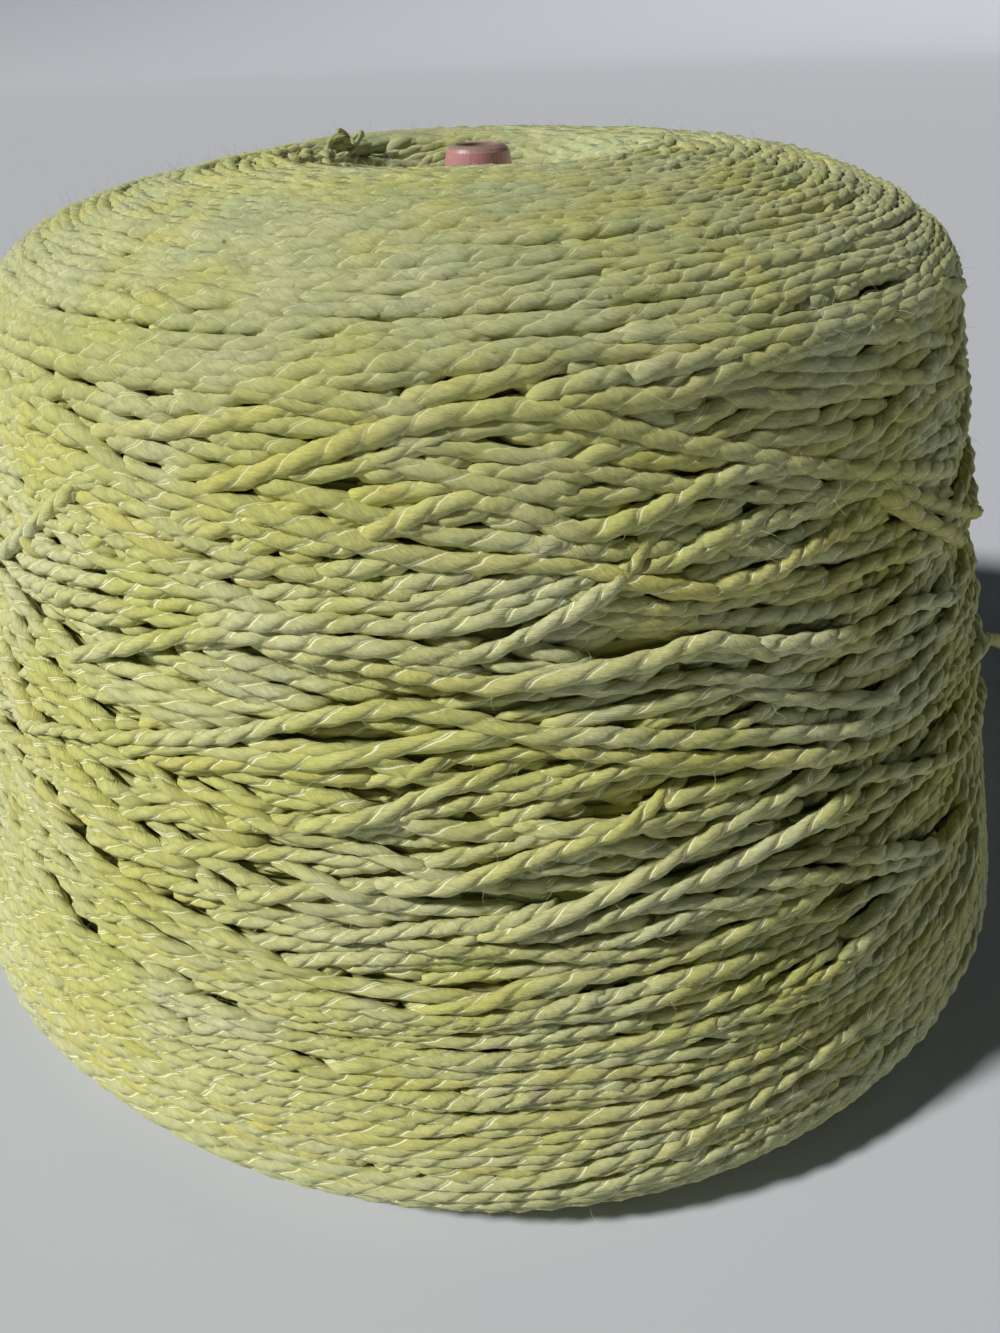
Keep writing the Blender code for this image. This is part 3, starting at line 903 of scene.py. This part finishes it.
def fuzz_tree():
    """Short bent fibres that stand off the open side of the yarn, more of them on the crown."""
    graph, given, result = new_tree(
        "loose fibres", "GeometryNodeTree",
        [("Yarn", "Geometry"), ("Density", "Float"), ("Length", "Float"), ("Thickness", "Float"),
         ("Crown Height", "Float"), ("Middle", "Vector"), ("Floor", "Float"), ("Seed", "Int"),
         ("Material", "Material")],
        [("Fibres", "Geometry")])
    place = graph.node("GeometryNodeInputPosition").outputs["Position"]
    normal = graph.node("GeometryNodeInputNormal").outputs["Normal"]
    outward = graph.vector("NORMALIZE", graph.vector("SUBTRACT", place, given["Middle"]))
    facing = graph.maths("GREATER_THAN", graph.vector("DOT_PRODUCT", normal, outward), 0.35)
    height = graph.split(place)[2]
    crown = graph.ramp(height, given["Crown Height"],
                       graph.maths("ADD", given["Crown Height"], 0.025), 1.0, 2.4)
    density = graph.maths("MULTIPLY", graph.maths("MULTIPLY", given["Density"], crown), facing)
    scatter = graph.made("GeometryNodeDistributePointsOnFaces",
                         {"Mesh": given["Yarn"], "Density": density, "Seed": given["Seed"]})
    bend = graph.made("GeometryNodeCurveQuadraticBezier",
                      {"Resolution": 2, "Start": (0, 0, -0.1), "Middle": (0.1, 0, 0.55),
                       "End": (0.62, 0.1, 0.72)})
    coarse = graph.made("GeometryNodeResampleCurve", {"Curve": bend.outputs["Curve"],
                                                      "Count": 3})
    taper = graph.maths("SUBTRACT", 1.0, graph.maths(
        "MULTIPLY", graph.node("GeometryNodeSplineParameter").outputs["Factor"], 0.7))
    radius = graph.made("GeometryNodeSetCurveRadius", {"Curve": coarse.outputs["Curve"],
                                                       "Radius": taper})
    thin = graph.maths("DIVIDE", given["Thickness"], graph.maths("MULTIPLY", given["Length"], 2.0))
    ring = graph.made("GeometryNodeCurvePrimitiveCircle", {"Resolution": 3, "Radius": thin})
    fibre = graph.made("GeometryNodeCurveToMesh",
                       {"Curve": radius.outputs["Curve"], "Profile Curve": ring.outputs["Curve"],
                        "Fill Caps": True})
    if "Scale" in fibre.inputs:
        graph.feed(taper, fibre.inputs["Scale"])
    seed = given["Seed"]
    sway = graph.made("FunctionNodeRandomValue", {"Min": (-0.8,) * 3, "Max": (0.8,) * 3,
                                                  "Seed": seed}, data_type="FLOAT_VECTOR")
    lean = graph.vector("ADD", scatter.outputs["Normal"], sway.outputs["Value"])
    aligned = graph.made("FunctionNodeAlignRotationToVector", {"Vector": lean}, axis="Z")
    spin = graph.made("FunctionNodeRandomValue", {"Min": 0.0, "Max": math.tau,
                                                  "Seed": graph.maths("ADD", seed, 1.0)},
                      data_type="FLOAT")
    about = graph.made("FunctionNodeEulerToRotation",
                       {"Euler": graph.join(0.0, 0.0, spin.outputs["Value"])})
    turned = graph.made("FunctionNodeRotateRotation",
                        {"Rotation": aligned.outputs["Rotation"],
                         "Rotate By": about.outputs["Rotation"]}, rotation_space="LOCAL")
    grown = graph.made("FunctionNodeRandomValue", {"Min": 0.4, "Max": 1.4,
                                                   "Seed": graph.maths("ADD", seed, 2.0)},
                       data_type="FLOAT")
    spread = graph.made("GeometryNodeInstanceOnPoints",
                        {"Points": scatter.outputs["Points"], "Instance": fibre.outputs["Mesh"],
                         "Rotation": turned.outputs["Rotation"],
                         "Scale": graph.maths("MULTIPLY", grown.outputs["Value"],
                                              given["Length"])})
    real = graph.made("GeometryNodeRealizeInstances", {"Geometry": spread.outputs["Instances"]})
    spot = graph.split(place)
    above = graph.join(spot[0], spot[1], graph.maths("MAXIMUM", spot[2], given["Floor"]))
    rested = graph.made("GeometryNodeSetPosition", {"Geometry": real.outputs["Geometry"],
                                                    "Position": above})
    paint = graph.made("GeometryNodeSetMaterial", {"Geometry": rested.outputs["Geometry"],
                                                   "Material": given["Material"]})
    graph.feed(paint.outputs["Geometry"], result["Fibres"])
    return graph.tree


def round_place(graph, turns, way, along, twist):
    """Coordinates on a strand that meet themselves all the way round it."""
    angle = graph.maths("MULTIPLY", graph.maths("ADD", way, graph.maths("MULTIPLY", turns, twist)),
                        math.tau)
    return graph.join(graph.maths("MULTIPLY", turns, along), graph.maths("COSINE", angle),
                      graph.maths("SINE", angle))


def binding_group():
    """Masks of the two fine threads that bind the yarn, and of the crease they press in."""
    graph, given, result = new_tree(
        "binding thread", "ShaderNodeTree",
        [("Turns", "Float"), ("Way Round", "Float"), ("Thread Width", "Float"),
         ("Crease Width", "Float")],
        [("Thread", "Float"), ("Crease", "Float"), ("Swell", "Float")])
    place = round_place(graph, given["Turns"], given["Way Round"], 1.0, 0.0)
    wobble = graph.maths("MULTIPLY", graph.maths("SUBTRACT", graph.noise(place, 0.9, 0.0), 0.5),
                         0.30)
    twist = graph.maths("MULTIPLY", given["Way Round"], PLIES)
    turned = graph.maths("ADD", graph.maths("ADD", given["Turns"], twist), wobble)
    offset = graph.maths("SUBTRACT", graph.maths("FRACT", graph.maths("ADD", turned, 0.5)), 0.5)
    away = graph.maths("ABSOLUTE", offset)
    half = graph.maths("MULTIPLY", given["Thread Width"], 0.5)
    edge = graph.maths("MULTIPLY", given["Thread Width"], 0.9)
    showing = graph.ramp(graph.noise(place, 0.8, 0.0), 0.42, 0.48)
    second = graph.ramp(graph.noise(place, 0.53, 0.0), 0.48, 0.54)
    first_line = graph.ramp(graph.maths("ABSOLUTE", graph.maths("SUBTRACT", offset, 0.045)),
                            half, edge, 1.0, 0.0)
    next_line = graph.ramp(graph.maths("ABSOLUTE", graph.maths("ADD", offset, 0.055)),
                           half, edge, 1.0, 0.0)
    thread = graph.maths("MAXIMUM", graph.maths("MULTIPLY", first_line, showing),
                         graph.maths("MULTIPLY", next_line, second))
    graph.feed(thread, result["Thread"])
    graph.feed(graph.ramp(away, 0.0, given["Crease Width"], 1.0, 0.0), result["Crease"])
    slope = graph.maths("SUBTRACT", 1.0, graph.maths("MULTIPLY", away, 2.0))
    dome = graph.maths("SUBTRACT", 1.0, graph.maths("MULTIPLY", slope, slope))
    valley = graph.ramp(away, 0.0, 0.22)
    graph.feed(graph.maths("MULTIPLY", graph.maths("ADD", dome, valley), 0.5), result["Swell"])
    return graph.tree


def fibre_group():
    """Fine streaks of the fibres in a strand, and the soft clumps that they lie in."""
    graph, given, result = new_tree(
        "cotton fibres", "ShaderNodeTree",
        [("Turns", "Float"), ("Way Round", "Float"), ("Twist", "Float"), ("Fineness", "Float")],
        [("Streak", "Float"), ("Clump", "Float")])
    fine = round_place(graph, given["Turns"], given["Way Round"], 0.8, given["Twist"])
    streak = graph.noise(fine, given["Fineness"], 1.0, 0.6)
    graph.feed(graph.ramp(streak, 0.3, 0.7), result["Streak"])
    graph.feed(graph.ramp(graph.noise(fine, 1.3, 0.0), 0.3, 0.7), result["Clump"])
    return graph.tree


def drift_group():
    """Slow drift of a colour through a whole piece, and small specks on it."""
    graph, given, result = new_tree(
        "dye drift", "ShaderNodeTree",
        [("Place", "Vector"), ("Scale", "Float"), ("Speck Scale", "Float")],
        [("Drift", "Float"), ("Specks", "Float")])
    drift = graph.noise(given["Place"], given["Scale"], 2.0, 0.55)
    graph.feed(graph.ramp(drift, 0.32, 0.68), result["Drift"])
    specks = graph.noise(given["Place"], given["Speck Scale"], 1.0, 0.5)
    graph.feed(graph.ramp(specks, 0.70, 0.76), result["Specks"])
    return graph.tree


def place_group(graph, tree, inputs):
    """A shader node group in a material, with its values set or fed."""
    node = graph.node("ShaderNodeGroup", node_tree=tree)
    for key, value in inputs.items():
        graph.feed(value, node.inputs[key])
    return node.outputs


def mark(graph, place, pixel, radius, edge):
    """Mask of a small round mark where a pixel of the photograph meets the package."""
    s, angle = seen_place(*pixel)
    middle = tuple(map(float, on_package(s, angle, SURFACE_OFFSET / 2)))
    away = graph.vector("DISTANCE", place, middle)
    return graph.ramp(away, radius, radius + edge, 1.0, 0.0)


def shader_of(material):
    material.use_nodes = True
    return Graph(material.node_tree), material.node_tree.nodes["Principled BSDF"]


def yarn_material(binding, fibres, drifting):
    """Slub yarn: its colour drifts and streaks with its fibres; painted shade darkens its creases,
    its felted shoulder and its crown, whose greyer tint is painted sheen of its fuzz; the binding
    thread over it is paler and a little shiny, with part of its glint painted into its colour."""
    material = bpy.data.materials.new("slub yarn")
    graph, shader = shader_of(material)
    shader.inputs["Subsurface Weight"].default_value = 0.15
    shader.inputs["Subsurface Radius"].default_value = (1.0, 0.95, 0.5)
    shader.inputs["Subsurface Scale"].default_value = 0.0012
    shader.inputs["Specular IOR Level"].default_value = 0.15
    shader.inputs["Sheen Weight"].default_value = 0.08
    shader.inputs["Sheen Roughness"].default_value = 0.5
    shader.inputs["Sheen Tint"].default_value = (0.92, 0.95, 0.58, 1)
    chart = graph.split(graph.node("ShaderNodeUVMap", uv_map="UVMap").outputs["UV"])
    place = graph.node("ShaderNodeTexCoord").outputs["Object"]
    tint = graph.node("ShaderNodeAttribute", attribute_name="tint").outputs["Fac"]
    bound = place_group(graph, binding, {"Turns": chart[0], "Way Round": chart[1],
                                         "Thread Width": 0.042, "Crease Width": 0.40})
    spun = place_group(graph, fibres, {"Turns": chart[0], "Way Round": chart[1],
                                       "Twist": -0.3, "Fineness": 7.0})
    dyed = place_group(graph, drifting, {"Place": place, "Scale": 38.0, "Speck Scale": 260.0})
    height_up = graph.split(place)[2]
    felted_and_shaded = graph.ramp(height_up, *FELTED_SHADED_SHOULDER)
    # The crown darkens and greys with painted shade and painted sheen
    crown_shade = graph.ramp(height_up, *SHADED_CROWN, 0.0, 0.6)
    deeper = graph.maths("MULTIPLY", dyed["Drift"], graph.ramp(height_up, *PALE_FOOT, 0.35, 1.0))
    body = graph.blend(deeper, YARN_PALE, YARN_DEEP)
    warmth = graph.ramp(tint, 0.55, 1.3, 0.0, 0.8)
    kept = graph.maths("MAXIMUM", graph.ramp(crown_shade, 0.0, 0.6, 1.0, 0.4),
                       graph.ramp(tint, 1.0, 1.25))
    body = graph.blend(graph.maths("MULTIPLY", warmth, kept), body, YARN_WARM)
    # Mottled patches of the crown's painted shade and sheen
    mottled_crown_shade = graph.maths("MULTIPLY", crown_shade, graph.ramp(graph.noise(place, 95.0, 1.0), 0.35, 0.65))
    body = graph.blend(mottled_crown_shade, body, YARN_CROWN_SHADE)
    light = graph.maths("ADD", graph.maths("MULTIPLY", spun["Streak"], 0.20),
                        graph.maths("MULTIPLY", spun["Clump"], 0.14))
    # Darker on the felted shoulder: painted shade
    light = graph.maths("SUBTRACT", graph.maths("ADD", light, 0.82),
                        graph.maths("MULTIPLY", felted_and_shaded, 0.12))
    body = graph.blend(1.0, body, light, "MULTIPLY")
    # Painted shade in the creases between the swells of each strand
    pressed = graph.maths("MULTIPLY", bound["Crease"], graph.ramp(felted_and_shaded, 0.0, 1.0, 0.36, 0.20))
    body = graph.blend(pressed, body, CREASE_SHADE_AND_FLECK_COLOUR)
    body = graph.blend(graph.maths("MULTIPLY", dyed["Specks"], 0.25), body, CREASE_SHADE_AND_FLECK_COLOUR)
    stained = graph.maths("MULTIPLY", mark(graph, place, *STAIN), 0.45)
    body = graph.blend(stained, body, STAIN_COLOUR)
    # Dirt specks, and painted shade in one hollow at the right edge
    for dark_spot in DIRT_SPOTS_AND_HOLLOW_SHADE:
        dirt_and_shade = graph.maths("MULTIPLY", mark(graph, place, *dark_spot), 0.75)
        body = graph.blend(dirt_and_shade, body, DIRT_AND_HOLLOW_SHADE_COLOUR)
    # The binding thread, paler, with part of its glint painted in as highlight
    thread = graph.maths("MULTIPLY", bound["Thread"], graph.ramp(felted_and_shaded, 0.0, 1.0, 1.0, 0.45))
    graph.feed(graph.blend(thread, body, THREAD_AND_GLINT_COLOUR), shader.inputs["Base Color"])
    graph.feed(graph.maths("SUBTRACT", 0.88, graph.maths("MULTIPLY", thread, 0.25)),
               shader.inputs["Roughness"])
    height = graph.maths("ADD", graph.maths("MULTIPLY", bound["Swell"], 0.85),
                         graph.maths("MULTIPLY", spun["Streak"], 0.17))
    height = graph.maths("MULTIPLY", height, graph.ramp(felted_and_shaded, 0.0, 1.0, 1.0, 0.45))
    bump = graph.made("ShaderNodeBump", {"Distance": 0.00042, "Strength": 1.0, "Height": height})
    graph.feed(bump.outputs["Normal"], shader.inputs["Normal"])
    return material


def packed_material(drifting):
    """The turns deep between those that show: rounded rows in the yarn's colour darkened by
    painted shade, and darker still in the grooves with painted shade.
    """
    material = bpy.data.materials.new("shaded packed yarn")
    graph, shader = shader_of(material)
    shader.inputs["Roughness"].default_value = 0.9
    shader.inputs["Specular IOR Level"].default_value = 0.1
    place = graph.node("ShaderNodeTexCoord").outputs["Object"]
    dyed = place_group(graph, drifting, {"Place": place, "Scale": 45.0, "Speck Scale": 500.0})
    bent = graph.maths("MULTIPLY", graph.noise(place, 28.0, 1.0), PACKED_ROW * 3)
    across = graph.maths("DIVIDE", graph.maths("ADD", graph.split(place)[2], bent), PACKED_ROW)
    wave = graph.maths("ABSOLUTE", graph.maths("SINE", graph.maths("MULTIPLY", across, math.pi)))
    rows = graph.ramp(wave, 0.0, 0.8)
    # The yarn's own dye, darkened as painted shade of the depth
    body = graph.blend(dyed["Drift"], (0.47, 0.48, 0.21, 1), (0.42, 0.43, 0.15, 1))
    # Painted shade in the grooves between the rows
    graph.feed(graph.blend(rows, (0.17, 0.17, 0.05, 1), body), shader.inputs["Base Color"])
    bump = graph.made("ShaderNodeBump", {"Distance": 0.0009, "Strength": 1.0, "Height": rows})
    graph.feed(bump.outputs["Normal"], shader.inputs["Normal"])
    return material


def fuzz_material(drifting):
    """Single fibres, paler than the yarn."""
    material = bpy.data.materials.new("fibre fuzz")
    graph, shader = shader_of(material)
    shader.inputs["Roughness"].default_value = 0.7
    shader.inputs["Sheen Weight"].default_value = 0.4
    place = graph.node("ShaderNodeTexCoord").outputs["Object"]
    dyed = place_group(graph, drifting, {"Place": place, "Scale": 60.0, "Speck Scale": 300.0})
    colour = graph.blend(dyed["Drift"], (0.66, 0.70, 0.40, 1), (0.74, 0.76, 0.40, 1))
    graph.feed(colour, shader.inputs["Base Color"])
    return material


def cone_material(drifting):
    """Pink moulded plastic, dusty in its pores, with grey lint on its rim."""
    material = bpy.data.materials.new("cone plastic")
    graph, shader = shader_of(material)
    shader.inputs["Specular IOR Level"].default_value = 0.55
    place = graph.node("ShaderNodeTexCoord").outputs["Object"]
    height = graph.split(place)[2]
    dyed = place_group(graph, drifting, {"Place": place, "Scale": 180.0, "Speck Scale": 900.0})
    body = graph.blend(dyed["Drift"], (0.58, 0.27, 0.29, 1), (0.49, 0.21, 0.23, 1))
    rim = graph.maths("MULTIPLY", graph.ramp(height, 0.1620, 0.1634),
                      graph.ramp(graph.noise(place, 420.0, 1.0), 0.30, 0.62, 0.35, 0.85))
    body = graph.blend(rim, body, (0.25, 0.23, 0.17, 1))
    dusty = graph.maths("MULTIPLY", dyed["Specks"], 0.5)
    graph.feed(graph.blend(dusty, body, (0.50, 0.46, 0.36, 1)), shader.inputs["Base Color"])
    graph.feed(graph.maths("ADD", 0.34, graph.maths("MULTIPLY", dyed["Drift"], 0.16)),
               shader.inputs["Roughness"])
    grain = graph.noise(place, 1400.0, 2.0)
    bump = graph.made("ShaderNodeBump", {"Distance": 0.00006, "Strength": 0.6, "Height": grain})
    graph.feed(bump.outputs["Normal"], shader.inputs["Normal"])
    return material


def carried(piece, *nodes):
    """A piece of the yarn, which stands for nodes of the frame."""
    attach(piece, "root")
    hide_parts(*nodes)


def make_wound_yarn(trees, yarn, fuzz):
    """All turns that show, in pieces of at most a set number of triangles, with fuzz."""
    winding = Winding(np.random.default_rng(SEED))
    winding.traverses()
    winding.parallel_turns()
    winding.slack_turns()
    winding.top_strands()
    number = 0
    for group, sides, steps_per_turn in (("wound", TUBE_SIDES, TUBE_STEPS_PER_TURN),
                                         ("outer", OUTER_SIDES, OUTER_STEPS_PER_TURN)):
        limit = PIECE_TRIANGLES // (sides * 2)
        batches = [[]]
        count = 0
        for run in winding.runs(group, steps_per_turn):
            if count + len(run[0]) > limit:
                batches.append([])
                count = 0
            batches[-1].append(run)
            count += len(run[0]) + 1
        for batch in batches:
            number += 1
            name = f"{group}_turns_{number}"
            piece = apply_tree(name, line_object(name, batch), trees["yarn"], {
                "Thickness": WOUND_DIAMETER, "Sides": sides, "Swell": SWELL,
                "Floor": FLOOR_CLEARANCE, "Material": yarn})
            carried(piece, "yarn_cake")
            make_fuzz(f"fuzz_{number}", piece, trees["fuzz"], fuzz, number)


def make_fuzz(name, yarn_piece, tree, material, seed, density=FUZZ_DENSITY, replaced="yarn_cake"):
    """Loose fibres on one piece of yarn."""
    source = bpy.data.objects.new(name, yarn_piece.data)
    bpy.context.scene.collection.objects.link(source)
    piece = apply_tree(name, source, tree, {
        "Density": density, "Length": FUZZ_LENGTH, "Thickness": FUZZ_THICKNESS,
        "Crown Height": FUZZ_CROWN_HEIGHT, "Middle": (0.0, 0.0, 0.07),
        "Floor": FLOOR_CLEARANCE, "Seed": seed, "Material": material})
    carried(piece, replaced)
    return piece


def make_packed_body(material):
    """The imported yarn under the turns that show, as one closed body round the cone."""
    columns = 96
    angles = np.arange(columns) * math.tau / columns
    picked = list(range(0, len(OUT_S), 12)) + [len(OUT_S) - 1]
    points = np.concatenate([on_package(np.full(columns, OUT_S[row]), angles, -PACKED_DEPTH)
                             for row in picked])
    faces = []
    count = len(picked)
    for i in range(count):
        for k in range(columns):
            below = (i + 1) % count
            right = (k + 1) % columns
            faces.append((i * columns + k, below * columns + k,
                          below * columns + right, i * columns + right))
    mesh = bpy.data.meshes.new("packed_yarn")
    mesh.from_pydata(points.tolist(), [], faces)
    mesh.shade_smooth()
    mesh.materials.append(material)
    piece = bpy.data.objects.new("packed_yarn", mesh)
    bpy.context.scene.collection.objects.link(piece)
    carried(piece, "yarn_cake")


def make_loose_end(trees, yarn, fuzz):
    """The free end of the yarn, from the package's side down to the floor."""
    points = smooth_route(LOOSE_END_ROUTE, 0.0012)
    points[:, 2] = np.maximum(points[:, 2], LYING_HEIGHT)
    count = len(points)
    steps = np.linalg.norm(np.diff(points, axis=0), axis=1)
    along = np.concatenate([[0.0], np.cumsum(steps)])
    turns = along / BINDING_PITCH
    rng = np.random.default_rng(5)
    thick = 1 + wander(rng, count, 0.0012, 0.012, 0.06)
    name = "loose_yarn_end"
    piece = apply_tree(name, line_object(name, [(points, thick, turns, thick * 0 + 0.5)]),
                       trees["yarn"], {"Thickness": YARN_DIAMETER, "Sides": 10, "Swell": SWELL,
                                       "Floor": FLOOR_CLEARANCE, "Material": yarn})
    carried(piece, "loose_end")
    fuzz_piece = make_fuzz("fuzz_on_loose_end", piece, trees["fuzz"], fuzz, 60,
                           FUZZ_DENSITY * 3, "loose_end")


def make_tuft(trees, yarn, fuzz):
    """Small curls of frayed yarn that stand on the rim of the dip."""
    s, angle = seen_place(*TUFT_PIXEL)
    runs = []
    rng = np.random.default_rng(11)
    for k in range(8):
        t = np.linspace(0.0, 1.0, 22)
        curl = math.tau * rng.uniform(0.6, 1.0) * t + k * 2.1
        reach = TUFT_SIZE * rng.uniform(0.35, 0.8)
        along = s + reach * np.cos(curl) * 0.8
        turned = angle + (reach * np.sin(curl) + rng.uniform(-0.0024, 0.0024)) / radius_at(s)
        lift = TUFT_SIZE * np.sin(math.pi * t) * rng.uniform(0.4, 0.95) - 0.0014
        points = on_package(along, turned, lift)
        thick = 0.48 * (1 - 0.5 * t) + rng.normal(0, 0.03, len(t))
        runs.append((points, thick, t * 2, t * 0 + 0.3))
    piece = apply_tree("tuft", line_object("tuft", runs), trees["yarn"], {
        "Thickness": YARN_DIAMETER, "Sides": 8, "Swell": 0.03, "Floor": FLOOR_CLEARANCE,
        "Material": yarn})
    carried(piece, "yarn_cake")
    make_fuzz("fuzz_on_tuft", piece, trees["fuzz"], fuzz, 61, FUZZ_DENSITY * TUFT_FUZZ)


def finish_cone(material):
    """The frame's own cone, in its plastic."""
    cone = bpy.data.objects["cone_core"]
    if not cone.data.materials:
        cone.data.materials.append(material)
    for slot in cone.material_slots:
        slot.material = material


def main():
    make_camera()
    make_studio()
    binding = binding_group()
    fibres = fibre_group()
    drifting = drift_group()
    yarn = yarn_material(binding, fibres, drifting)
    fuzz = fuzz_material(drifting)
    trees = {"yarn": yarn_tree(), "fuzz": fuzz_tree()}
    make_wound_yarn(trees, yarn, fuzz)
    make_packed_body(packed_material(drifting))
    make_tuft(trees, yarn, fuzz)
    make_loose_end(trees, yarn, fuzz)
    finish_cone(cone_material(drifting))


main()
bpy.context.view_layer.update()
